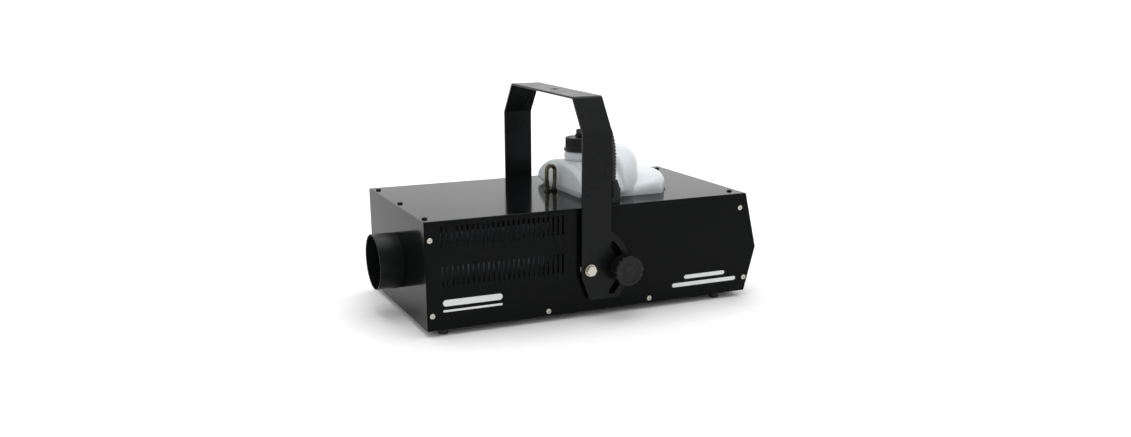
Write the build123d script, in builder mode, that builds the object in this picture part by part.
"""Stage fog machine with a folded steel case, a lift-out fluid tank and a tilting hanging yoke.

Frame: millimetres, +X from the outlet tube to the control panel, +Y from the near side (tank hose
side) to the far side, +Z up. The origin is on the floor, at the centre of the machine's length and
width. Every piece is made where it sits in the finished machine.
"""

import os
from math import atan2, cos, pi, radians, sin, tan

from build123d import *

os.makedirs("parts", exist_ok=True)

# ---------------------------------------------------------------------------------- driving sizes
# Case
case_length = 500.0  # front panel to the rear edge of the top
case_width = 270.0
case_height = 150.0
cover_sheet = 1.2
panel_sheet = 1.5
bend_radius = 2.4  # outside radius of the cover's two long bends
rear_waist_height = 66.6  # height above the case bottom where the rear panel's two facets meet
rear_waist_reach = 21.0  # how far the waist stands behind the top's rear edge
rear_bottom_reach = 4.0
flange_depth = 16.0  # folded edges that carry the case screws
panel_gap = 0.3  # seam between the folded panels
fitting_gap = 0.1  # around a piece that drops through a panel

# Outlet
outlet_diameter = 80.0
outlet_wall = 1.5
outlet_length = 35.0  # in front of the front panel
outlet_inside = 18.0  # behind the front panel's outer face
outlet_height = 69.0  # tube axis above the case bottom
outlet_flange = 8.0
outlet_relief = 0.6  # the tube is turned down where it passes the panel

# Feet
foot_height = 9.0
foot_diameter = 15.5
foot_inset = 14.0  # foot axis from the case's long sides
front_foot_setback = 26.0
rear_foot_setback = 40.0

# Tank and its well
tank_length = 161.0
tank_width = 162.0
tank_depth = 88.0  # below the top of the case
tank_wall = 1.6
tank_corner = 22.0
tank_tail_radius = 113.0  # plan radius of the rounded rear end
tank_rear_margin = 80.0  # rear end of the tank to the rear edge of the top
shoulder_rise = 45.0  # front shoulder above the top of the case
step_rise = 26.0  # rear step above the top of the case
hump_rise = 64.0
hump_length = 51.0
hump_setback = 62.0  # hump's front behind the tank's front end
neck_diameter = 45.0
neck_rise = 13.0  # above the shoulder
neck_bore = 33.0
thread_diameter = 37.0
cap_setback = 30.5  # cap axis behind the tank's front end
cap_diameter = 43.0
cap_height = 20.5
cap_wall = 2.0
well_gap = 1.5  # tank to well wall
well_sheet = 1.2
well_rim = 4.5

# Yoke
yoke_thickness = 3.0
yoke_width = 45.0
leg_offset = 9.5  # leg centreline behind the pivot axis
yoke_rise = 150.0  # crossbar top above the top of the case
yoke_shoulder_rise = 103.0  # where the legs start to lean in
yoke_shoulder_lean = 34.0
yoke_stand_off = 6.5  # leg to case side, the thickness of the friction washers
yoke_bend_radius = 5.0
pivot_height = 62.0  # above the case bottom
pivot_lead = 20.5  # pivot axis in front of the tank's front end
lock_radius = 48.5  # pivot axis to locking stud axis
plate_radius = 62.0
plate_drop = 44.0  # pivot axis to the plate's straight lower edge
slot_half_angle = 44.0
slot_clearance = 1.0  # each side of the locking stud
hanging_hole_diameter = 13.0
pivot_diameter = 8.0
pivot_clearance = 0.05  # radial running fit of the yoke on its pivots
stud_diameter = 8.0
stud_clearance = 0.05
knob_diameter = 45.0
knob_reach = 38.0  # knob face from the case side
knob_rim = 20.0
knob_hub_diameter = 26.0
knob_play = 0.2  # knob to yoke, slackened for tilting

# Fasteners
screw_head_diameter = 7.7
screw_head_height = 2.3
screw_diameter = 4.0
screw_length = 7.0
screw_clearance = 0.2
nut_height = 6.5

# Vents
vent_width = 2.6
vent_height = 27.5
vent_pitch = 7.35
vent_start = 24.0  # first slot behind the front panel
vent_end_margin = 37.5  # last slot in front of the pivot axis
vent_rows = (74.0, 128.5)  # slot centres above the case bottom

# Hose
hose_diameter = 10.0
gland_diameter = 22.0
gland_height = 32.0
gland_inset = 20.0  # gland axis from the near side
gland_lead = 2.5  # gland axis in front of the cap axis
gland_thread = 16.0

# Safety eye
eye_wire = 6.0
eye_height = 41.0
eye_foot_spacing = 11.0
eye_loop_spacing = 13.0  # centre to centre of the wire at the loop's widest
eye_setback = 3.4  # loop centre behind the pivot axis
eye_nut_half = 4.6  # half across the flats
eye_tail = 13.0  # threaded legs below the top

# Heater
heater_size = 64.0
heater_setback = 50.0  # block behind the front panel
heater_rear_gap = 42.5  # block in front of the pivot axis
insulation_side = 18.0
insulation_top = 10.0
shield_sheet = 0.8
shield_side_gap = 33.0
shield_height = 128.0
rod_diameter = 10.0

# Pump
pump_diameter = 26.0
pump_length = 75.0
pump_inset = 50.0
pump_height = 27.0
pump_setback = 60.0  # behind the cap axis
tube_diameter = 7.0
pipe_diameter = 6.0

# Rear fittings
rear_fitting_reach = 1.5  # fuse cap, the rearmost piece, behind the waist
button_travel = 1.2
rocker_angle = 11.0

# ------------------------------------------------------------------------------- derived positions
overall_length = outlet_length + case_length + rear_waist_reach + rear_fitting_reach
front_x = outlet_length - overall_length / 2
near_y = -case_width / 2
far_y = case_width / 2
base_z = foot_height
top_z = base_z + case_height
rear_x = front_x + case_length
waist_x = rear_x + rear_waist_reach
waist_z = base_z + rear_waist_height
bottom_rear_x = rear_x + rear_bottom_reach
outlet_z = base_z + outlet_height
tank_rear_x = rear_x - tank_rear_margin
tank_front_x = tank_rear_x - tank_length
pivot_x = tank_front_x - pivot_lead
pivot_z = base_z + pivot_height
stud_x = pivot_x + lock_radius
cap_x = tank_front_x + cap_setback
leg_inner_y = case_width / 2 + yoke_stand_off
leg_outer_y = leg_inner_y + yoke_thickness
inner_half_width = case_width / 2 - cover_sheet
flange_y = inner_half_width - fitting_gap
roof_z = top_z - cover_sheet
roof_flange_z = roof_z - fitting_gap
floor_top_z = base_z + panel_sheet


def side_plane(x, z, side):
    """Plane on a long side of the case at x and z, facing outwards: side is -1 near, +1 far."""
    return Plane(origin=(x, side * case_width / 2, z), x_dir=(-side, 0, 0), z_dir=(0, side, 0))


def top_plane(x, y):
    """Plane on the top of the case at x and y, facing up."""
    return Plane(origin=(x, y, top_z), x_dir=(1, 0, 0), z_dir=(0, 0, 1))


# Rear panel facets: local x runs along +Y, local y runs up the facet, the normal points outwards.
upper_lean = atan2(waist_x - rear_x, top_z - waist_z)
lower_lean = atan2(waist_x - bottom_rear_x, waist_z - base_z)
upper_facet = Plane(
    origin=((rear_x + waist_x) / 2, 0, (top_z + waist_z) / 2),
    x_dir=(0, 1, 0),
    z_dir=(cos(upper_lean), 0, sin(upper_lean)),
)
lower_facet = Plane(
    origin=((bottom_rear_x + waist_x) / 2, 0, (base_z + waist_z) / 2),
    x_dir=(0, 1, 0),
    z_dir=(cos(lower_lean), 0, -sin(lower_lean)),
)


def on_facet(facet, across, up, out=0.0):
    """Plane parallel to a facet, centred across and up it, and out along its normal."""
    return Plane(
        origin=facet.from_local_coords((across, up, out)), x_dir=facet.x_dir, z_dir=facet.z_dir
    )


# Screw places
side_screw_places = [
    (front_x + 7.5, base_z + 125.0),
    (front_x + 7.5, base_z + 21.0),
    (front_x + 178.0, base_z + 7.0),
    (rear_x - 161.0, base_z + 7.0),
    (rear_x - 10.0, base_z + 129.0),
    (rear_x + 2.0, base_z + 21.0),
]
side_screw_planes = [
    side_plane(x, min(z, top_z - 21.0), side) for x, z in side_screw_places for side in (-1, 1)
]
top_screw_planes = [top_plane(front_x + 8.5, y) for y in (near_y + 22.0, 0.0, far_y - 22.0)]
top_screw_planes += [top_plane(rear_x - 14.0, y) for y in (near_y + 24.0, far_y - 24.0)]
screw_hole_radius = screw_diameter / 2 + screw_clearance
gland_x = cap_x - gland_lead
gland_plane = top_plane(gland_x, near_y + gland_inset)
eye_x = pivot_x + eye_setback
eye_planes = [top_plane(eye_x + s * eye_foot_spacing / 2, 0) for s in (-1, 1)]


def drill(planes, radius, depth=12.0):
    """Cut a round hole through the current part at each plane, both ways by depth."""
    for plane in planes:
        with BuildSketch(plane) as hole:
            Circle(radius)
        extrude(hole.sketch, amount=depth, both=True, mode=Mode.SUBTRACT)


def pan_screws(planes, length=screw_length):
    """Add a cross-recessed pan-head screw to the current part at each plane."""
    for plane in planes:
        with BuildSketch(plane) as head:
            Circle(screw_head_diameter / 2)
        with BuildSketch(plane.offset(screw_head_height - 0.8)) as crown:
            Circle(screw_head_diameter / 2)
        with BuildSketch(plane) as shank:
            Circle(screw_diameter / 2)
        with BuildSketch(plane.offset(screw_head_height)) as recess:
            SlotOverall(4.2, 0.9)
            SlotOverall(4.2, 0.9, rotation=90)
        extrude(head.sketch, amount=screw_head_height - 0.8)
        extrude(crown.sketch, amount=0.8, taper=45)
        extrude(shank.sketch, amount=-length)
        extrude(recess.sketch, amount=-1.3, mode=Mode.SUBTRACT)


def save(builder, name):
    """Label a finished piece and write its STEP file."""
    builder.part.label = name
    export_step(builder.part, f"parts/{name}.step")


# ----------------------------------------------------------------------------------- case shells


def tank_outline(grow):
    """Plan outline of the tank, grown outwards: straight front and sides, one arc at the rear."""
    half = tank_width / 2 + grow
    radius = tank_tail_radius + grow
    tail_centre = tank_rear_x + grow - radius
    tail_start = tail_centre + (radius**2 - half**2) ** 0.5
    front = tank_front_x - grow
    with BuildSketch() as outline:
        with BuildLine():
            Polyline((tail_start, half), (front, half), (front, -half), (tail_start, -half))
            ThreePointArc((tail_start, -half), (tail_centre + radius, 0), (tail_start, half))
        make_face()
        fillet(outline.vertices().sort_by(Axis.X)[:2], tank_corner + grow)
        fillet(outline.vertices().sort_by(Axis.X)[-2:], 10.0 + grow)
    return outline.sketch


cover_start_x = front_x + panel_sheet + panel_gap
with BuildPart() as top_cover:
    with BuildSketch(Plane.YZ.offset(cover_start_x)):
        with Locations((0, base_z)):
            Rectangle(case_width, case_height, align=(Align.CENTER, Align.MIN))
            fillet(vertices().group_by(Axis.Y)[-1], bend_radius)
        with Locations((0, base_z)):
            Rectangle(
                2 * inner_half_width,
                case_height - cover_sheet,
                align=(Align.CENTER, Align.MIN),
                mode=Mode.SUBTRACT,
            )
    extrude(amount=waist_x - cover_start_x)
    with BuildSketch(Plane.XZ):
        Polygon(
            (rear_x, top_z + 5),
            (rear_x, top_z),
            (waist_x, waist_z),
            (bottom_rear_x, base_z),
            (bottom_rear_x, base_z - 5),
            (waist_x + 20, base_z - 5),
            (waist_x + 20, top_z + 5),
            align=None,
        )
    extrude(amount=case_width, both=True, mode=Mode.SUBTRACT)
    vent_count = int((pivot_x - vent_end_margin - front_x - vent_start) / vent_pitch) + 1
    with BuildSketch(Plane.XZ):
        for row in vent_rows:
            for index in range(vent_count):
                with Locations((front_x + vent_start + index * vent_pitch, base_z + row)):
                    SlotOverall(vent_height, vent_width, rotation=90)
    extrude(amount=case_width, both=True, mode=Mode.SUBTRACT)
    with BuildSketch(Plane.XY.offset(top_z)):
        add(tank_outline(well_gap))
    extrude(amount=-10, mode=Mode.SUBTRACT)
    drill(top_screw_planes + side_screw_planes, screw_hole_radius, 4.0)
    drill([gland_plane], gland_thread / 2 + fitting_gap, 4.0)
    drill(eye_planes, eye_wire / 2 + fitting_gap, 4.0)
    drill([side_plane(pivot_x, pivot_z, s) for s in (-1, 1)], pivot_diameter / 2 + fitting_gap, 4.0)
    drill([side_plane(stud_x, pivot_z, s) for s in (-1, 1)], stud_diameter / 2 + 0.4, 4.0)
save(top_cover, "top_cover")

# Front panel: a flat plate over the whole front, folded back inside the cover on three sides.
panel_back_x = front_x + panel_sheet
with BuildPart() as front_panel:
    with BuildSketch(Plane.YZ.offset(front_x)):
        with Locations((0, base_z)):
            Rectangle(case_width, case_height, align=(Align.CENTER, Align.MIN))
            fillet(vertices().group_by(Axis.Y)[-1], bend_radius)
    extrude(amount=panel_sheet)
    with BuildSketch(Plane.YZ.offset(panel_back_x)):
        with Locations((0, floor_top_z + panel_gap)):
            Rectangle(
                2 * flange_y,
                roof_flange_z - floor_top_z - panel_gap,
                align=(Align.CENTER, Align.MIN),
            )
            Rectangle(
                2 * (flange_y - panel_sheet),
                roof_flange_z - floor_top_z - panel_gap - panel_sheet,
                align=(Align.CENTER, Align.MIN),
                mode=Mode.SUBTRACT,
            )
    extrude(amount=flange_depth)
    with BuildSketch(Plane.YZ.offset(front_x)):
        with Locations((0, outlet_z)):
            Circle(outlet_diameter / 2 + fitting_gap)
    extrude(amount=panel_sheet, mode=Mode.SUBTRACT)
    drill(top_screw_planes + side_screw_planes, screw_hole_radius)
save(front_panel, "front_panel")

# Base pan: floor with a folded edge along each long side, inside the cover.
pan_start_x = front_x + panel_sheet + panel_gap
pan_flange_start = front_x + panel_sheet + flange_depth + 4.0
pan_flange_end = rear_x - flange_depth - 8.0
pan_flange_height = 24.0
with BuildPart() as base_pan:
    with BuildSketch(Plane.XY.offset(base_z)):
        with Locations(((pan_start_x + bottom_rear_x - 2.0) / 2, 0)):
            Rectangle(bottom_rear_x - 2.0 - pan_start_x, 2 * flange_y)
    extrude(amount=panel_sheet)
    with BuildSketch(Plane.XY.offset(base_z)):
        with Locations(((pan_flange_start + pan_flange_end) / 2, 0)):
            Rectangle(pan_flange_end - pan_flange_start, 2 * flange_y)
            Rectangle(
                pan_flange_end - pan_flange_start, 2 * (flange_y - panel_sheet), mode=Mode.SUBTRACT
            )
    extrude(amount=pan_flange_height)
    drill(side_screw_planes, screw_hole_radius)
    foot_places = [
        (front_x + front_foot_setback, near_y + foot_inset),
        (front_x + front_foot_setback, far_y - foot_inset),
        (rear_x - rear_foot_setback, near_y + foot_inset),
        (rear_x - rear_foot_setback, far_y - foot_inset),
    ]
    foot_planes = [Plane(origin=(x, y, base_z), z_dir=(0, 0, -1)) for x, y in foot_places]
    drill(foot_planes, screw_hole_radius, 4.0)
save(base_pan, "base_pan")

# Rear fitting places, on the outer faces of the two facets
panel_inset = 0.6  # the rear panel stands inside the cover's rear edge
upper_face = Plane(
    origin=upper_facet.from_local_coords((0, 0, -panel_inset * cos(upper_lean))),
    x_dir=(0, 1, 0),
    z_dir=upper_facet.z_dir,
)
lower_face = Plane(
    origin=lower_facet.from_local_coords((0, 0, -panel_inset * cos(lower_lean))),
    x_dir=(0, 1, 0),
    z_dir=lower_facet.z_dir,
)
inlet_place = on_facet(lower_face, -80.0, 2.0)
fuse_place = on_facet(lower_face, -30.0, 2.0)
switch_place = on_facet(lower_face, 12.0, 2.0)
display_place = on_facet(upper_face, -72.0, 15.0)
dmx_in_place = on_facet(upper_face, 12.0, 4.0)
dmx_out_place = on_facet(upper_face, 52.0, 4.0)
remote_place = on_facet(upper_face, 92.0, 4.0)
button_places = [on_facet(upper_face, across, -15.0) for across in (-99.0, -81.0, -63.0, -45.0)]
xlr_screw_spots = [(-9.5, 12.0), (9.5, -12.0)]
inlet_screw_spots = [(-20.0, 0.0), (20.0, 0.0)]
fitting_flange = 2.0


def spots_on(place, spots):
    """Planes on top of a fitting's flange at each spot of its face."""
    return [
        Plane(origin=place.from_local_coords((u, v, fitting_flange)), x_dir=place.x_dir, z_dir=place.z_dir)
        for u, v in spots
    ]


fitting_screw_planes = (
    spots_on(inlet_place, inlet_screw_spots)
    + spots_on(dmx_in_place, xlr_screw_spots)
    + spots_on(dmx_out_place, xlr_screw_spots)
)

# Rear panel: two facets meeting in a shallow ridge, with edges folded forward inside the cover.
panel_half_width = inner_half_width - fitting_gap
rear_fold_x = rear_x - flange_depth - 4.0
with BuildPart() as rear_panel:
    with BuildSketch(Plane.XZ) as rear_section:
        with BuildLine():
            Polyline(
                (rear_fold_x, floor_top_z + panel_gap),
                (bottom_rear_x - panel_inset, floor_top_z + panel_gap),
                (waist_x - panel_inset, waist_z),
                (rear_x - panel_inset, roof_flange_z),
                (rear_fold_x, roof_flange_z),
                close=True,
            )
        make_face()
    extrude(amount=panel_half_width, both=True)
    rear_core = offset(rear_section.sketch, amount=-panel_sheet, mode=Mode.PRIVATE)
    extrude(rear_core, amount=panel_half_width - panel_sheet, both=True, mode=Mode.SUBTRACT)
    with BuildSketch(Plane.YZ.offset(rear_fold_x - 1.0)):
        with Locations((0, floor_top_z - 1.0)):
            Rectangle(
                2 * (panel_half_width - panel_sheet),
                roof_flange_z - floor_top_z - panel_sheet + 1.0,
                align=(Align.CENTER, Align.MIN),
            )
    extrude(amount=flange_depth, mode=Mode.SUBTRACT)
    with BuildSketch(Plane.XZ):
        with Locations((rear_fold_x, floor_top_z)):
            Rectangle(
                bottom_rear_x - rear_fold_x - 6.0, 5.0, align=(Align.MIN, Align.MIN)
            )
    extrude(amount=panel_half_width, both=True, mode=Mode.SUBTRACT)
    drill(top_screw_planes + side_screw_planes, screw_hole_radius)
    for place, size in (
        (inlet_place, (27.8, 20.4)),
        (switch_place, (19.4, 27.4)),
        (display_place, (58.0, 20.0)),
    ):
        with BuildSketch(place) as window:
            RectangleRounded(*size, 1.0)
        extrude(window.sketch, amount=6, both=True, mode=Mode.SUBTRACT)
    drill(fitting_screw_planes, 1.7, 6.0)
    drill([fuse_place], 6.2, 6.0)
    drill([dmx_in_place, dmx_out_place], 12.1, 6.0)
    drill([remote_place], 8.1, 6.0)
    drill(button_places, 4.0, 6.0)
save(rear_panel, "rear_panel")

# Outlet tube with a flange that sits behind the front panel.
with BuildPart() as outlet_tube:
    with BuildSketch(Plane.YZ.offset(front_x - outlet_length)):
        with Locations((0, outlet_z)):
            Circle(outlet_diameter / 2)
    extrude(amount=outlet_length - panel_gap)
    with BuildSketch(Plane.YZ.offset(front_x - panel_gap)):
        with Locations((0, outlet_z)):
            Circle(outlet_diameter / 2 - outlet_relief)
    extrude(amount=panel_gap + outlet_inside)
    with BuildSketch(Plane.YZ.offset(panel_back_x)):
        with Locations((0, outlet_z)):
            Circle(outlet_diameter / 2 + outlet_flange)
    extrude(amount=outlet_wall)
    with BuildSketch(Plane.YZ.offset(front_x - outlet_length)):
        with Locations((0, outlet_z)):
            Circle(outlet_diameter / 2 - outlet_wall)
    extrude(amount=outlet_length + outlet_inside, mode=Mode.SUBTRACT)
    fillet(edges().filter_by(GeomType.CIRCLE).group_by(Axis.X)[0], outlet_wall * 0.4)
save(outlet_tube, "outlet_tube")

# ----------------------------------------------------------------------------------- heater group
heater_front_x = front_x + heater_setback
heater_rear_x = pivot_x - heater_rear_gap
heater_length = heater_rear_x - heater_front_x
nozzle_thread = 10.0
nozzle_thread_length = 11.0
rod_depth = heater_length - 12.0
rod_offset = 18.0
rod_places = [(-rod_offset, outlet_z + rod_offset), (rod_offset, outlet_z + rod_offset)]
with BuildPart() as heater_block:
    with BuildSketch(Plane.YZ.offset(heater_front_x)):
        with Locations((0, outlet_z)):
            RectangleRounded(heater_size, heater_size, 4.0)
    extrude(amount=heater_length)
    with BuildSketch(Plane.YZ.offset(heater_front_x)):
        with Locations((0, outlet_z)):
            Circle(pipe_diameter / 2 + fitting_gap)
    extrude(amount=heater_length, mode=Mode.SUBTRACT)
    with BuildSketch(Plane.YZ.offset(heater_front_x)):
        with Locations((0, outlet_z)):
            Circle(nozzle_thread / 2 + fitting_gap)
    extrude(amount=nozzle_thread_length + 1.0, mode=Mode.SUBTRACT)
    with BuildSketch(Plane.YZ.offset(heater_rear_x)):
        with Locations(*rod_places):
            Circle(rod_diameter / 2 + fitting_gap)
    extrude(amount=-rod_depth, mode=Mode.SUBTRACT)
save(heater_block, "heater_block")

with BuildPart() as heating_rods:
    with BuildSketch(Plane.YZ.offset(heater_rear_x + 12.0)):
        with Locations(*rod_places):
            Circle(rod_diameter / 2)
    extrude(amount=-(rod_depth + 11.0))
save(heating_rods, "heating_rods")

with BuildPart() as nozzle:
    with BuildSketch(Plane.XZ):
        with BuildLine():
            Polyline(
                (heater_front_x + nozzle_thread_length, outlet_z),
                (heater_front_x + nozzle_thread_length, outlet_z + nozzle_thread / 2),
                (heater_front_x - 8.0, outlet_z + nozzle_thread / 2),
                (heater_front_x - 8.0, outlet_z + 6.0),
                (heater_front_x - 24.0, outlet_z + 4.0),
                (heater_front_x - 26.0, outlet_z + 2.4),
                (heater_front_x - 26.0, outlet_z),
                close=True,
            )
        make_face()
    revolve(axis=Axis((0, 0, outlet_z), (1, 0, 0)))
    with BuildSketch(Plane.YZ.offset(heater_front_x)):
        with Locations((0, outlet_z)):
            RegularPolygon(7.0, 6, major_radius=False)
    extrude(amount=-8.0)
    with BuildSketch(Plane.YZ.offset(heater_front_x - 26.0)):
        with Locations((0, outlet_z)):
            Circle(1.1)
    extrude(amount=40.0, mode=Mode.SUBTRACT)
save(nozzle, "nozzle")

thermostat_xs = [heater_front_x + heater_length * share for share in (0.35, 0.65)]
heater_top_z = outlet_z + heater_size / 2
insulation_margin = 4.0
with BuildPart() as heater_insulation:
    with BuildSketch(Plane.YZ.offset(heater_front_x + insulation_margin)):
        with Locations((0, outlet_z)):
            RectangleRounded(
                heater_size + 2 * insulation_side, heater_size + 2 * insulation_top, 12.0
            )
            RectangleRounded(
                heater_size + 2 * fitting_gap, heater_size + 2 * fitting_gap, 4.0, mode=Mode.SUBTRACT
            )
    extrude(amount=heater_length - 2 * insulation_margin)
    with BuildSketch(Plane.XY.offset(heater_top_z)):
        with Locations(*[(x, 0) for x in thermostat_xs]):
            Circle(14.0)
    extrude(amount=insulation_top + 2, mode=Mode.SUBTRACT)
save(heater_insulation, "heater_insulation")

with BuildPart() as thermostats:
    with BuildSketch(Plane.XY.offset(heater_top_z)):
        with Locations(*[(x, 0) for x in thermostat_xs]):
            SlotOverall(23.0, 9.0)
    extrude(amount=1.0)
    with BuildSketch(Plane.XY.offset(heater_top_z)):
        with Locations(*[(x, 0) for x in thermostat_xs]):
            Circle(8.0)
    extrude(amount=9.0)
    with BuildSketch(Plane.XY.offset(heater_top_z + 9.0)):
        for x in thermostat_xs:
            with Locations((x - 3.5, 0), (x + 3.5, 0)):
                Rectangle(0.8, 6.3)
    extrude(amount=7.0)
save(thermostats, "thermostats")

bracket_sheet = 3.0
bracket_foot = 12.0
bracket_top_z = outlet_z - heater_size / 2
with BuildPart() as heater_brackets:
    for face_x, outward in ((heater_front_x + 0.5, -1), (heater_rear_x - 0.5 - bracket_sheet, 1)):
        edge_x = face_x if outward < 0 else face_x + bracket_sheet
        with BuildSketch(Plane.YZ.offset(face_x)):
            with Locations((0, floor_top_z)):
                Rectangle(
                    heater_size, bracket_top_z - floor_top_z, align=(Align.CENTER, Align.MIN)
                )
        extrude(amount=bracket_sheet)
        with BuildSketch(Plane.XY.offset(floor_top_z)):
            with Locations((edge_x + outward * bracket_foot / 2, 0)):
                Rectangle(bracket_foot, heater_size)
        extrude(amount=bracket_sheet)
save(heater_brackets, "heater_brackets")

shield_half = case_width / 2 - shield_side_gap
shield_foot = 11.0
shield_front_x = front_x + 32.0
shield_length = heater_rear_x + 16.0 - shield_front_x
shield_top_z = base_z + min(shield_height, case_height - 20.0)
with BuildPart() as heater_shield:
    with BuildSketch(Plane.YZ.offset(shield_front_x)):
        with BuildLine():
            FilletPolyline(
                (-shield_half - shield_foot, floor_top_z + shield_sheet / 2),
                (-shield_half, floor_top_z + shield_sheet / 2),
                (-shield_half, shield_top_z - shield_sheet / 2),
                (shield_half, shield_top_z - shield_sheet / 2),
                (shield_half, floor_top_z + shield_sheet / 2),
                (shield_half + shield_foot, floor_top_z + shield_sheet / 2),
                radius=2.0,
            )
        trace(line_width=shield_sheet)
    extrude(amount=shield_length)
save(heater_shield, "heater_shield")

# ------------------------------------------------------------------------------------ tank and well
tank_bottom_z = top_z - tank_depth
neck_base_z = top_z + shoulder_rise
neck_top_z = neck_base_z + neck_rise
cap_top_z = neck_top_z + cap_height
hump_front_x = tank_front_x + hump_setback
dome_half = tank_width / 2


def tank_body(inset):
    """Solid of the tank without its neck, with every face moved inwards by inset."""
    with BuildPart() as body:
        with BuildSketch(Plane.XY.offset(tank_bottom_z + inset)):
            add(tank_outline(-inset))
        extrude(amount=tank_depth - inset)
        fillet(body.edges().group_by(Axis.Z)[0], 8.0 - inset)
        with BuildSketch(Plane.XY.offset(top_z - 1.0)):
            add(tank_outline(-inset))
            with Locations((hump_front_x + inset, 0)):
                Rectangle(
                    tank_length, tank_width, align=(Align.MAX, Align.CENTER), mode=Mode.SUBTRACT
                )
        extrude(amount=step_rise + 1.0 - inset)
        fillet(body.edges().group_by(Axis.Z)[-1], 15.0 - inset)
        for start_x, length, rise in (
            (tank_front_x + inset, hump_setback + 20.0 - inset, shoulder_rise),
            (hump_front_x + inset, hump_length - 2 * inset, hump_rise),
        ):
            with BuildSketch(Plane.YZ.offset(start_x)):
                with Locations((0, top_z)):
                    Ellipse(dome_half - inset, rise - inset)
            extrude(amount=length)
        with BuildSketch(Plane.XY.offset(tank_bottom_z + inset)):
            add(tank_outline(-inset))
        extrude(amount=tank_depth + hump_rise, mode=Mode.INTERSECT)
    return body.part


with BuildPart() as tank:
    add(tank_body(0.0))
    with BuildSketch(Plane.XY.offset(neck_base_z - 25.0)):
        with Locations((cap_x, 0)):
            Circle(neck_diameter / 2)
    extrude(amount=neck_rise + 25.0)
    with BuildSketch(Plane.XY.offset(neck_top_z)):
        with Locations((cap_x, 0)):
            Circle(thread_diameter / 2)
    extrude(amount=cap_height - cap_wall - 1.0)
    add(tank_body(tank_wall), mode=Mode.SUBTRACT)
    with BuildSketch(Plane.XY.offset(neck_base_z - 20.0)):
        with Locations((cap_x, 0)):
            Circle(neck_bore / 2)
    extrude(amount=60.0, mode=Mode.SUBTRACT)
save(tank, "tank")

with BuildPart() as tank_cap:
    with BuildSketch(Plane.XY.offset(neck_top_z + fitting_gap)):
        with Locations((cap_x, 0)):
            Circle(cap_diameter / 2 + 2.2)
    extrude(amount=3.2)
    with BuildSketch(Plane.XY.offset(neck_top_z + fitting_gap)):
        with Locations((cap_x, 0)):
            Circle(cap_diameter / 2)
    extrude(amount=cap_height - fitting_gap)
    fillet(tank_cap.edges().group_by(Axis.Z)[-1], 1.5)
    with BuildSketch(Plane.XY.offset(neck_top_z + 4.5)):
        with Locations((cap_x, 0)):
            with PolarLocations(cap_diameter / 2 + 0.4, 36):
                Circle(0.9)
    extrude(amount=cap_height - 7.0, mode=Mode.SUBTRACT)
    with BuildSketch(Plane.XY.offset(neck_top_z + fitting_gap)):
        with Locations((cap_x, 0)):
            Circle(thread_diameter / 2 + 0.4)
    extrude(amount=cap_height - fitting_gap - cap_wall, mode=Mode.SUBTRACT)
    with BuildSketch(Plane.XY.offset(neck_top_z)):
        with Locations((cap_x, 0)):
            Circle(5.3)
    extrude(amount=cap_height + 1.0, mode=Mode.SUBTRACT)
save(tank_cap, "tank_cap")

elbow_z = cap_top_z + 7.0
elbow_reach = 12.5
with BuildPart() as hose_fitting:
    with BuildSketch(Plane.XY.offset(cap_top_z - 8.0)):
        with Locations((cap_x, 0)):
            Circle(5.0)
    extrude(amount=9.0)
    with BuildSketch(Plane.XY.offset(cap_top_z + 0.3)):
        with Locations((cap_x, 0)):
            RegularPolygon(6.4, 6, major_radius=False)
    extrude(amount=4.0)
    with BuildSketch(Plane.XY.offset(cap_top_z + 4.0)):
        with Locations((cap_x, 0)):
            Circle(5.4)
    extrude(amount=elbow_z + 4.4 - cap_top_z - 4.0)
    fillet(hose_fitting.edges().group_by(Axis.Z)[-1], 2.0)
    with BuildSketch(Plane.XZ.offset(0)):
        with Locations((cap_x, elbow_z)):
            Circle(4.2)
    extrude(amount=elbow_reach)
save(hose_fitting, "hose_fitting")

pickup_diameter = 8.0
filter_height = 22.0
with BuildPart() as pickup_filter:
    with BuildSketch(Plane.XY.offset(tank_bottom_z + tank_wall + 0.5)):
        with Locations((cap_x, 0)):
            Circle(7.5)
    extrude(amount=filter_height)
    fillet(pickup_filter.edges().group_by(Axis.Z)[-1], 1.5)
save(pickup_filter, "pickup_filter")

pickup_start_z = tank_bottom_z + tank_wall + 0.5 + filter_height
with BuildPart() as pickup_tube:
    with BuildSketch(Plane.XY.offset(pickup_start_z)):
        with Locations((cap_x, 0)):
            Circle(pickup_diameter / 2)
            Circle(pickup_diameter / 2 - 1.5, mode=Mode.SUBTRACT)
    extrude(amount=cap_top_z - 8.0 - pickup_start_z)
save(pickup_tube, "pickup_tube")

with BuildPart() as tank_well:
    floor_z = tank_bottom_z - 0.2 - well_sheet
    with BuildSketch(Plane.XY.offset(floor_z)):
        add(tank_outline(well_gap + well_sheet))
    extrude(amount=roof_z - floor_z)
    with BuildSketch(Plane.XY.offset(roof_z - well_sheet)):
        add(tank_outline(well_gap + well_rim))
    extrude(amount=well_sheet)
    with BuildSketch(Plane.XY.offset(floor_z + well_sheet)):
        add(tank_outline(well_gap))
    extrude(amount=tank_depth + 5.0, mode=Mode.SUBTRACT)
save(tank_well, "tank_well")

# --------------------------------------------------------------------------------- pump and boards
pump_y = near_y + pump_inset
pump_z = base_z + pump_height
pump_front_x = cap_x + pump_setback
barb_length = 10.0
with BuildPart() as pump_body:
    with BuildSketch(Plane.YZ.offset(pump_front_x)):
        with Locations((pump_y, pump_z)):
            Circle(pump_diameter / 2)
    extrude(amount=pump_length)
    fillet(pump_body.edges().filter_by(GeomType.CIRCLE), 2.0)
    with BuildSketch(Plane.YZ.offset(pump_front_x - barb_length)):
        with Locations((pump_y, pump_z)):
            Circle(3.0)
    extrude(amount=pump_length + 2 * barb_length)
save(pump_body, "pump_body")

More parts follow.
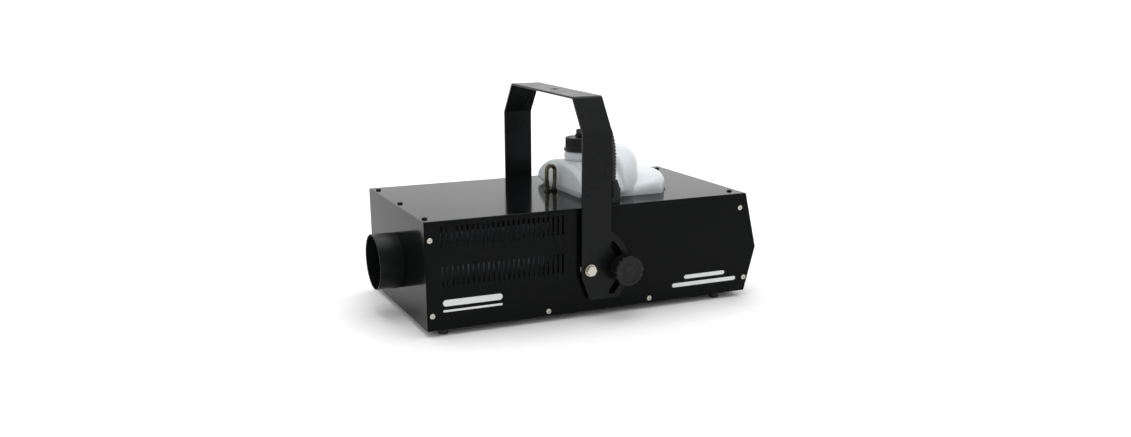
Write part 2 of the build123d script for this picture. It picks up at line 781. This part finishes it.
coil_length = 40.0
coil_width = 34.0
coil_height = 34.0
coil_x = pump_front_x + pump_length / 2
mount_height = pump_z - coil_height / 2 - 1.5 - floor_top_z
with BuildPart() as pump_coil:
    with BuildSketch(Plane.YZ.offset(coil_x - coil_length / 2)):
        with Locations((pump_y, pump_z)):
            RectangleRounded(coil_width, coil_height, 3.0)
            Circle(pump_diameter / 2 + fitting_gap, mode=Mode.SUBTRACT)
    extrude(amount=coil_length)
save(pump_coil, "pump_coil")

with BuildPart() as pump_bracket:
    with BuildSketch(Plane.XY.offset(floor_top_z + mount_height)):
        with Locations((coil_x, pump_y)):
            RectangleRounded(60.0, 44.0, 4.0)
            with GridLocations(50.0, 34.0, 2, 2):
                Circle(1.7, mode=Mode.SUBTRACT)
    extrude(amount=1.5)
save(pump_bracket, "pump_bracket")

with BuildPart() as pump_mounts:
    with BuildSketch(Plane.XY.offset(floor_top_z)):
        with Locations((coil_x, pump_y)):
            with GridLocations(50.0, 34.0, 2, 2):
                Circle(4.5)
    extrude(amount=mount_height)
save(pump_mounts, "pump_mounts")


def bend_radii(points):
    """Arc radius at each inner corner of a route, as large as the two runs beside it allow."""
    route = [Vector(*p) for p in points]
    radii = []
    for before, corner, after in zip(route, route[1:], route[2:]):
        turn = (corner - before).get_angle(after - corner)
        shorter = min((corner - before).length, (after - corner).length)
        radii.append(0.45 * shorter / tan(radians(turn) / 2))
    return radii


def tube_along(points, diameter, name):
    """Round solid swept along a route of straight runs and tangent arcs."""
    radii = bend_radii(points)
    print(name, "radii", [round(r, 1) for r in radii])
    with BuildPart() as tube:
        with BuildLine():
            path = FilletPolyline(*points, radius=radii)
        with BuildSketch(Plane(origin=path @ 0, z_dir=path % 0)):
            Circle(diameter / 2)
        sweep()
    section = pi * diameter**2 / 4
    ratio = tube.part.volume / (section * path.length)
    print(name, "length", round(path.length, 1), "volume over section by length", round(ratio, 4))
    return tube


gland_y = near_y + gland_inset
gland_bottom_z = roof_z - 14.0
suction_points = [
    (gland_x, gland_y, gland_bottom_z),
    (gland_x, gland_y, gland_bottom_z - 36.0),
    (gland_x + 1.0, gland_y + 6.0, pump_z + 36.0),
    (gland_x + 16.0, pump_y - 5.0, pump_z + 3.0),
    (gland_x + 34.0, pump_y, pump_z),
    (pump_front_x - barb_length, pump_y, pump_z),
]
suction_tube = tube_along(suction_points, tube_diameter, "suction_tube")
save(suction_tube, "suction_tube")

pipe_x = pump_front_x + pump_length + barb_length
pipe_lane_y = near_y + 105.0
feed_points = [
    (pipe_x, pump_y, pump_z),
    (pipe_x + 20.0, pump_y, pump_z),
    (pipe_x + 20.0, pipe_lane_y, pump_z),
    (heater_rear_x + 40.0, pipe_lane_y, pump_z),
    (heater_rear_x + 20.0, 0, outlet_z),
    (heater_rear_x - 9.0, 0, outlet_z),
]
feed_pipe = tube_along(feed_points, pipe_diameter, "feed_pipe")
save(feed_pipe, "feed_pipe")

board_length = 150.0
board_width = 85.0
board_z = floor_top_z + 10.5
board_x = tank_front_x + 10.0 + board_length / 2
board_y = 20.0 + board_width / 2
with BuildPart() as control_board:
    with BuildSketch(Plane.XY.offset(board_z)):
        with Locations((board_x, board_y)):
            Rectangle(board_length, board_width)
            with GridLocations(board_length - 10.0, board_width - 10.0, 2, 2):
                Circle(1.7, mode=Mode.SUBTRACT)
    extrude(amount=1.6)
save(control_board, "control_board")

with BuildPart() as board_standoffs:
    with BuildSketch(Plane.XY.offset(floor_top_z)):
        with Locations((board_x, board_y)):
            with GridLocations(board_length - 10.0, board_width - 10.0, 2, 2):
                Circle(3.0)
                Circle(1.5, mode=Mode.SUBTRACT)
    extrude(amount=board_z - floor_top_z)
save(board_standoffs, "board_standoffs")

board_top_z = board_z + 1.6
board_items = [  # offset along and across the board, length, width, height
    (-52.0, 18.0, 19.0, 15.5, 15.5),
    (-52.0, -2.0, 19.0, 15.5, 15.5),
    (-22.0, 14.0, 32.0, 27.0, 24.0),
    (6.0, 22.0, 14.0, 30.0, 28.0),
    (34.0, 4.0, 28.0, 7.5, 3.0),
    (50.0, 26.0, 24.0, 12.0, 10.0),
    (10.0, -30.0, 60.0, 10.0, 11.0),
]
with BuildPart() as board_parts:
    for along, across, length, width, height in board_items:
        with BuildSketch(Plane.XY.offset(board_top_z)) as footprint:
            with Locations((board_x + along, board_y + across)):
                Rectangle(length, width)
        extrude(footprint.sketch, amount=height)
    with BuildSketch(Plane.XY.offset(board_top_z)):
        with Locations((board_x + 30.0, board_y - 16.0), (board_x + 46.0, board_y - 8.0)):
            Circle(5.0)
    extrude(amount=16.0)
save(board_parts, "board_parts")

# -------------------------------------------------------------------------------- hose and gland
with BuildPart() as cable_gland:
    with BuildSketch(gland_plane):
        RegularPolygon(gland_diameter / 2, 6, major_radius=False)
    extrude(amount=7.0)
    with BuildSketch(gland_plane.offset(7.0)):
        Circle(gland_thread / 2 + 1.0)
    extrude(amount=2.0)
    with BuildSketch(gland_plane.offset(9.0)):
        RegularPolygon(gland_diameter / 2, 10, major_radius=False)
    extrude(amount=12.0)
    with BuildSketch(gland_plane.offset(21.0)) as dome_base:
        Circle(gland_diameter / 2 - 0.4)
    with BuildSketch(gland_plane.offset(gland_height)) as dome_top:
        Circle(hose_diameter / 2 + 2.0)
    loft([dome_base.sketch, dome_top.sketch])
    with BuildSketch(gland_plane):
        Circle(gland_thread / 2)
    extrude(amount=-(cover_sheet + 14.0))
save(cable_gland, "cable_gland")

with BuildPart() as gland_locknut:
    with BuildSketch(gland_plane.offset(-cover_sheet)):
        RegularPolygon(9.5, 6, major_radius=False)
        Circle(gland_thread / 2 + fitting_gap, mode=Mode.SUBTRACT)
    extrude(amount=-5.0)
save(gland_locknut, "gland_locknut")

hose_start_y = -elbow_reach
hose_points = [
    (cap_x, hose_start_y, elbow_z),
    (cap_x, hose_start_y - 14.0, elbow_z),
    (cap_x - 0.3, hose_start_y - 28.0, elbow_z + 5.5),
    (cap_x - 0.7, hose_start_y - 41.0, elbow_z + 14.5),
    (cap_x - 1.0, hose_start_y - 54.0, elbow_z + 21.0),
    (cap_x - 1.3, hose_start_y - 68.9, elbow_z + 22.5),
    (cap_x - 1.6, hose_start_y - 83.0, elbow_z + 17.5),
    (cap_x - 1.9, gland_y + 9.0, elbow_z + 7.0),
    (cap_x - 2.1, gland_y + 2.7, elbow_z - 7.5),
    (cap_x - 2.3, gland_y + 0.7, elbow_z - 23.0),
    (gland_x, gland_y, elbow_z - 39.0),
    (gland_x, gland_y, top_z + gland_height),
]
hose = tube_along(hose_points, hose_diameter, "hose")
save(hose, "hose")

# -------------------------------------------------------------------------------- safety eye, feet
eye_half = eye_loop_spacing / 2
foot_half = eye_foot_spacing / 2
eye_top_z = top_z + eye_height - eye_wire / 2
with BuildPart() as safety_eye:
    with BuildLine(Plane.XZ):
        eye_path = FilletPolyline(
            (eye_x - foot_half, top_z - eye_tail),
            (eye_x - foot_half, top_z + 7.0),
            (eye_x - eye_half, top_z + 17.0),
            (eye_x - eye_half, eye_top_z),
            (eye_x + eye_half, eye_top_z),
            (eye_x + eye_half, top_z + 17.0),
            (eye_x + foot_half, top_z + 7.0),
            (eye_x + foot_half, top_z - eye_tail),
            radius=[16.0, 16.0, eye_half - 0.01, eye_half - 0.01, 16.0, 16.0],
        )
    with BuildSketch(Plane(origin=eye_path @ 0, z_dir=eye_path % 0)):
        Circle(eye_wire / 2)
    sweep()
save(safety_eye, "safety_eye")

with BuildPart() as eye_nuts:
    for plane in eye_planes:
        with BuildSketch(plane) as collar:
            RegularPolygon(eye_nut_half, 6, major_radius=False)
            Circle(eye_wire / 2 + fitting_gap, mode=Mode.SUBTRACT)
        extrude(collar.sketch, amount=3.5)
        with BuildSketch(plane.offset(-cover_sheet)) as nut:
            RegularPolygon(eye_nut_half, 6, major_radius=False)
            Circle(eye_wire / 2 + fitting_gap, mode=Mode.SUBTRACT)
        extrude(nut.sketch, amount=-4.0)
save(eye_nuts, "eye_nuts")

foot_recess = 4.5
with BuildPart() as feet:
    for plane in foot_planes:
        with BuildSketch(plane) as foot_base:
            Circle(foot_diameter / 2)
        with BuildSketch(plane) as foot_hole:
            Circle(screw_hole_radius)
        with BuildSketch(plane.offset(foot_height)) as foot_recess_round:
            Circle(screw_head_diameter / 2 + 0.3)
        extrude(foot_base.sketch, amount=foot_height, taper=4)
        extrude(foot_recess_round.sketch, amount=-foot_recess, mode=Mode.SUBTRACT)
        extrude(foot_hole.sketch, amount=foot_height, mode=Mode.SUBTRACT)
save(feet, "feet")

with BuildPart() as foot_screws:
    pan_screws([plane.offset(foot_height - foot_recess) for plane in foot_planes], 12.0)
save(foot_screws, "foot_screws")

with BuildPart() as top_screws:
    pan_screws(top_screw_planes)
save(top_screws, "top_screws")

with BuildPart() as side_screws:
    pan_screws(side_screw_planes)
save(side_screws, "side_screws")

# --------------------------------------------------------------------------- yoke, pivots and knobs
bolt_seat = yoke_stand_off + yoke_thickness + knob_play
pivot_planes = [side_plane(pivot_x, pivot_z, side) for side in (-1, 1)]
stud_planes = [side_plane(stud_x, pivot_z, side) for side in (-1, 1)]
with BuildPart() as pivot_bolts:
    for plane in pivot_planes:
        with BuildSketch(plane.offset(bolt_seat)) as bolt_flange:
            Circle(8.6)
        with BuildSketch(plane.offset(bolt_seat + 1.6)) as bolt_hex:
            RegularPolygon(6.5, 6, major_radius=False)
        with BuildSketch(plane.offset(bolt_seat)) as bolt_shank:
            Circle(pivot_diameter / 2)
        extrude(bolt_flange.sketch, amount=1.6)
        extrude(bolt_hex.sketch, amount=5.0)
        extrude(bolt_shank.sketch, amount=-(bolt_seat + cover_sheet + nut_height + 3.0))
save(pivot_bolts, "pivot_bolts")

with BuildPart() as friction_washers:
    for plane in pivot_planes:
        with BuildSketch(plane) as washer:
            Circle(11.0)
            Circle(pivot_diameter / 2 + fitting_gap, mode=Mode.SUBTRACT)
        extrude(washer.sketch, amount=yoke_stand_off - 0.1)
save(friction_washers, "friction_washers")

with BuildPart() as case_nuts:
    for plane in pivot_planes:
        with BuildSketch(plane.offset(-cover_sheet)) as pivot_nut:
            RegularPolygon(6.5, 6, major_radius=False)
            Circle(pivot_diameter / 2 + fitting_gap, mode=Mode.SUBTRACT)
        extrude(pivot_nut.sketch, amount=-nut_height)
    for plane in stud_planes:
        with BuildSketch(plane.offset(-cover_sheet)) as stud_nut:
            Circle(8.0)
            Circle(stud_diameter / 2 + stud_clearance, mode=Mode.SUBTRACT)
        extrude(stud_nut.sketch, amount=-nut_height)
save(case_nuts, "case_nuts")

leg_x = pivot_x + leg_offset
shoulder_z = top_z + yoke_shoulder_rise
crossbar_z = top_z + yoke_rise
plate_bottom_z = pivot_z - plate_drop
leg_front_x = leg_x - yoke_width / 2
leg_rear_x = leg_x + yoke_width / 2
slot_arc = CenterArc((pivot_x, pivot_z), lock_radius, -slot_half_angle, 2 * slot_half_angle)
with BuildPart() as yoke:
    with BuildSketch(Plane.YZ.offset(leg_front_x)):
        with BuildLine():
            FilletPolyline(
                (-leg_outer_y + yoke_thickness / 2, pivot_z),
                (-leg_outer_y + yoke_thickness / 2, shoulder_z),
                (-leg_outer_y + yoke_shoulder_lean, crossbar_z - yoke_thickness / 2),
                (leg_outer_y - yoke_shoulder_lean, crossbar_z - yoke_thickness / 2),
                (leg_outer_y - yoke_thickness / 2, shoulder_z),
                (leg_outer_y - yoke_thickness / 2, pivot_z),
                radius=yoke_bend_radius,
            )
        trace(line_width=yoke_thickness)
    extrude(amount=yoke_width)
    reach = leg_rear_x - pivot_x
    leg_meet_z = pivot_z + (plate_radius**2 - reach**2) ** 0.5
    plate_toe_x = pivot_x + (plate_radius**2 - plate_drop**2) ** 0.5
    with BuildSketch(Plane.XZ.offset(leg_inner_y)) as plate:
        with BuildLine():
            Polyline(
                (leg_rear_x, leg_meet_z),
                (leg_front_x, leg_meet_z),
                (leg_front_x, pivot_z - 10.0),
                (pivot_x, plate_bottom_z),
                (plate_toe_x, plate_bottom_z),
            )
            ThreePointArc(
                (plate_toe_x, plate_bottom_z), (pivot_x + plate_radius, pivot_z), (leg_rear_x, leg_meet_z)
            )
        make_face()
        fillet(plate.vertices().group_by(Axis.Y)[0].sort_by(Axis.X)[-1], 6.0)
        with Locations((pivot_x, pivot_z)):
            Circle(pivot_diameter / 2 + pivot_clearance, mode=Mode.SUBTRACT)
    extrude(amount=yoke_thickness)
    extrude(plate.sketch.moved(Location((0, 2 * leg_inner_y, 0))), amount=-yoke_thickness)
    with BuildSketch(Plane.XZ):
        SlotArc(slot_arc, stud_diameter + 2 * slot_clearance)
    extrude(amount=leg_outer_y + 1.0, both=True, mode=Mode.SUBTRACT)
    drill(pivot_planes, pivot_diameter / 2 + pivot_clearance)
    with BuildSketch(Plane.XY.offset(crossbar_z)):
        with Locations((leg_x, 0)):
            Circle(hanging_hole_diameter / 2)
    extrude(amount=-10.0, mode=Mode.SUBTRACT)
save(yoke, "yoke")

knob_seat = yoke_stand_off + yoke_thickness + knob_play
stud_embed = 12.0
for side, name in ((-1, "near"), (1, "far")):
    plane = side_plane(stud_x, pivot_z, side)
    with BuildPart() as stud:
        with BuildSketch(plane.offset(knob_seat + stud_embed)):
            Circle(stud_diameter / 2)
        extrude(amount=-(knob_seat + stud_embed + cover_sheet + nut_height + 2.0))
    save(stud, f"{name}_stud")
    with BuildPart() as knob:
        with BuildSketch(plane.offset(knob_seat)):
            Circle(knob_hub_diameter / 2)
        extrude(amount=knob_reach - knob_rim - knob_seat)
        with BuildSketch(plane.offset(knob_reach - knob_rim)):
            Circle(knob_diameter / 2)
            with PolarLocations(knob_diameter / 2 + 2.2, 12):
                Circle(4.2, mode=Mode.SUBTRACT)
        extrude(amount=knob_rim)
        face_rim = knob.faces().sort_by(Axis.Y)[0 if side < 0 else -1].edges()
        chamfer(face_rim, 1.0)
        with BuildSketch(plane.offset(knob_seat)):
            Circle(stud_diameter / 2)
        extrude(amount=stud_embed, mode=Mode.SUBTRACT)
    save(knob, f"{name}_knob")

# ----------------------------------------------------------------------------------- rear fittings
def face_plane(place, out):
    """Plane parallel to a fitting's face, out along its normal."""
    return Plane(
        origin=place.from_local_coords((0, 0, out)), x_dir=place.x_dir, z_dir=place.z_dir
    )


inlet_depth = 22.0
inlet_cavity_depth = 16.0
with BuildPart() as power_inlet:
    with BuildSketch(inlet_place):
        RectangleRounded(50.0, 24.0, 3.0)
    extrude(amount=fitting_flange)
    with BuildSketch(inlet_place):
        RectangleRounded(27.4, 20.0, 1.0)
    extrude(amount=-inlet_depth)
    with BuildSketch(face_plane(inlet_place, fitting_flange)):
        Rectangle(24.0, 16.4)
        chamfer(vertices().group_by(Axis.Y)[-1], 4.0)
    extrude(amount=-(inlet_cavity_depth + fitting_flange), mode=Mode.SUBTRACT)
    drill(spots_on(inlet_place, inlet_screw_spots), 1.7, 3.0)
save(power_inlet, "power_inlet")

xlr_radius = 11.9
xlr_depth = 20.0
xlr_floor = 15.0
with BuildPart() as dmx_in_socket:
    with BuildSketch(dmx_in_place):
        RectangleRounded(26.0, 31.0, 3.0)
    extrude(amount=fitting_flange)
    with BuildSketch(dmx_in_place):
        Circle(xlr_radius)
    extrude(amount=-xlr_depth)
    with BuildSketch(face_plane(dmx_in_place, fitting_flange)):
        Circle(9.2)
    extrude(amount=-(xlr_floor + fitting_flange), mode=Mode.SUBTRACT)
    drill(spots_on(dmx_in_place, xlr_screw_spots), 1.7, 3.0)
save(dmx_in_socket, "dmx_in_socket")

xlr_pin_spots = [(-3.4, 2.0), (3.4, 2.0), (0.0, -3.6)]
with BuildPart() as dmx_out_socket:
    with BuildSketch(dmx_out_place):
        RectangleRounded(26.0, 31.0, 3.0)
    extrude(amount=fitting_flange)
    with BuildSketch(dmx_out_place):
        Circle(xlr_radius)
    extrude(amount=-xlr_depth)
    with BuildSketch(face_plane(dmx_out_place, fitting_flange)):
        Circle(9.6)
        Circle(7.4, mode=Mode.SUBTRACT)
    extrude(amount=-(xlr_floor + fitting_flange), mode=Mode.SUBTRACT)
    with BuildSketch(face_plane(dmx_out_place, fitting_flange)):
        with Locations(*xlr_pin_spots):
            Circle(1.5)
    extrude(amount=-14.0, mode=Mode.SUBTRACT)
    drill(spots_on(dmx_out_place, xlr_screw_spots), 1.7, 3.0)
save(dmx_out_socket, "dmx_out_socket")

with BuildPart() as socket_pins:
    with BuildSketch(face_plane(dmx_in_place, -xlr_floor)) as round_pins:
        with Locations(*xlr_pin_spots):
            Circle(1.2)
    extrude(round_pins.sketch, amount=13.0)
    with BuildSketch(face_plane(inlet_place, -inlet_cavity_depth)) as blade_pins:
        with Locations((-7.0, -2.2), (7.0, -2.2), (0.0, 2.6)):
            Rectangle(2.0, 4.0)
    extrude(blade_pins.sketch, amount=12.0)
save(socket_pins, "socket_pins")

with BuildPart() as remote_socket:
    with BuildSketch(remote_place):
        Circle(10.5)
    extrude(amount=1.6)
    with BuildSketch(remote_place):
        Circle(7.9)
    extrude(amount=-16.0)
    with BuildSketch(face_plane(remote_place, 1.6)):
        Circle(7.2)
        Circle(5.6, mode=Mode.SUBTRACT)
    extrude(amount=-9.0, mode=Mode.SUBTRACT)
    with BuildSketch(face_plane(remote_place, 1.6)):
        with PolarLocations(3.9, 5, start_angle=0, angular_range=180, endpoint=True):
            Circle(0.8)
    extrude(amount=-8.0, mode=Mode.SUBTRACT)
save(remote_socket, "remote_socket")

fuse_bore = 7.6
with BuildPart() as fuse_holder:
    with BuildSketch(fuse_place):
        Circle(8.0)
    extrude(amount=1.5)
    with BuildSketch(fuse_place):
        Circle(6.0)
    extrude(amount=-30.0)
    with BuildSketch(face_plane(fuse_place, 1.5)):
        Circle(fuse_bore / 2)
    extrude(amount=-27.0, mode=Mode.SUBTRACT)
save(fuse_holder, "fuse_holder")

with BuildPart() as fuse_cap:
    with BuildSketch(face_plane(fuse_place, 1.8)):
        Circle(6.2)
        with PolarLocations(6.5, 10):
            Circle(0.8, mode=Mode.SUBTRACT)
    extrude(amount=7.0)
    with BuildSketch(face_plane(fuse_place, 1.8)):
        Circle(fuse_bore / 2 - 0.2)
    extrude(amount=-22.0)
    with BuildSketch(face_plane(fuse_place, 8.8)):
        SlotOverall(9.0, 1.2)
    extrude(amount=-1.5, mode=Mode.SUBTRACT)
save(fuse_cap, "fuse_cap")

with BuildPart() as switch_frame:
    with BuildSketch(switch_place):
        RectangleRounded(23.0, 31.0, 1.5)
    extrude(amount=fitting_flange)
    with BuildSketch(switch_place):
        RectangleRounded(19.0, 27.0, 1.0)
    extrude(amount=-18.0)
    with BuildSketch(face_plane(switch_place, fitting_flange)):
        Rectangle(15.4, 22.4)
    extrude(amount=-12.0, mode=Mode.SUBTRACT)
save(switch_frame, "switch_frame")

rocker_half = 9.8
rocker_pivot = switch_place.from_local_coords((0, 0, -1.0))
tip = radians(-rocker_angle)
rocker_along = switch_place.y_dir * cos(tip) + switch_place.z_dir * sin(tip)
rocker_plane = Plane(origin=rocker_pivot, x_dir=rocker_along, z_dir=switch_place.x_dir)
rocker_valley = 2.7
rocker_end = rocker_valley + rocker_half * tan(radians(rocker_angle))
with BuildPart() as rocker:
    with BuildSketch(rocker_plane):
        Polygon(
            (-rocker_half, rocker_end),
            (0.0, rocker_valley),
            (rocker_half, rocker_end),
            (rocker_half, -1.0),
            (0.0, -5.0),
            (-rocker_half, -1.0),
            align=None,
        )
        fillet(vertices().sort_by(Axis.Y)[-2:], 0.8)
    extrude(amount=7.4, both=True)
save(rocker, "rocker")

with BuildPart() as display_window:
    with BuildSketch(display_place):
        RectangleRounded(63.0, 25.0, 2.0)
    extrude(amount=1.4)
    chamfer(display_window.edges().sort_by(lambda e: -display_place.to_local_coords(e.center()).Z)[:8], 0.5)
    with BuildSketch(display_place):
        RectangleRounded(57.6, 19.6, 1.0)
    extrude(amount=-3.0)
save(display_window, "display_window")

board_drop = 14.0
board_plane = on_facet(upper_face, -72.0, 0.0, -board_drop)
with BuildPart() as display_board:
    with BuildSketch(board_plane):
        Rectangle(78.0, 58.0)
    extrude(amount=-1.6)
    with BuildSketch(board_plane):
        with Locations((0.0, 15.0)):
            Rectangle(56.0, 18.0)
    extrude(amount=8.0)
    with BuildSketch(board_plane):
        with Locations(*[(across, -15.0) for across in (-27.0, -9.0, 9.0, 27.0)]):
            Rectangle(6.0, 6.0)
    extrude(amount=4.0)
save(display_board, "display_board")

stem_end = board_drop - 4.0 - button_travel - 0.3
for place, name in zip(button_places, ("menu", "down", "up", "enter")):
    with BuildPart() as button:
        with BuildSketch(face_plane(place, 2.6)):
            Circle(3.8)
        extrude(amount=-(2.6 + stem_end))
        rim = button.edges().filter_by(GeomType.CIRCLE).sort_by(Axis.X)[-1]
        fillet(rim, 0.8)
        with BuildSketch(face_plane(place, -panel_sheet - 0.2)):
            Circle(5.0)
        extrude(amount=-1.2)
    save(button, f"{name}_button")

with BuildPart() as fitting_screws:
    for plane in fitting_screw_planes:
        with BuildSketch(plane) as small_head:
            Circle(2.8)
        with BuildSketch(plane) as small_shank:
            Circle(1.5)
        with BuildSketch(plane.offset(1.5)) as small_recess:
            SlotOverall(3.2, 0.7)
            SlotOverall(3.2, 0.7, rotation=90)
        extrude(small_head.sketch, amount=1.5, taper=20)
        extrude(small_shank.sketch, amount=-9.0)
        extrude(small_recess.sketch, amount=-0.9, mode=Mode.SUBTRACT)
save(fitting_screws, "fitting_screws")
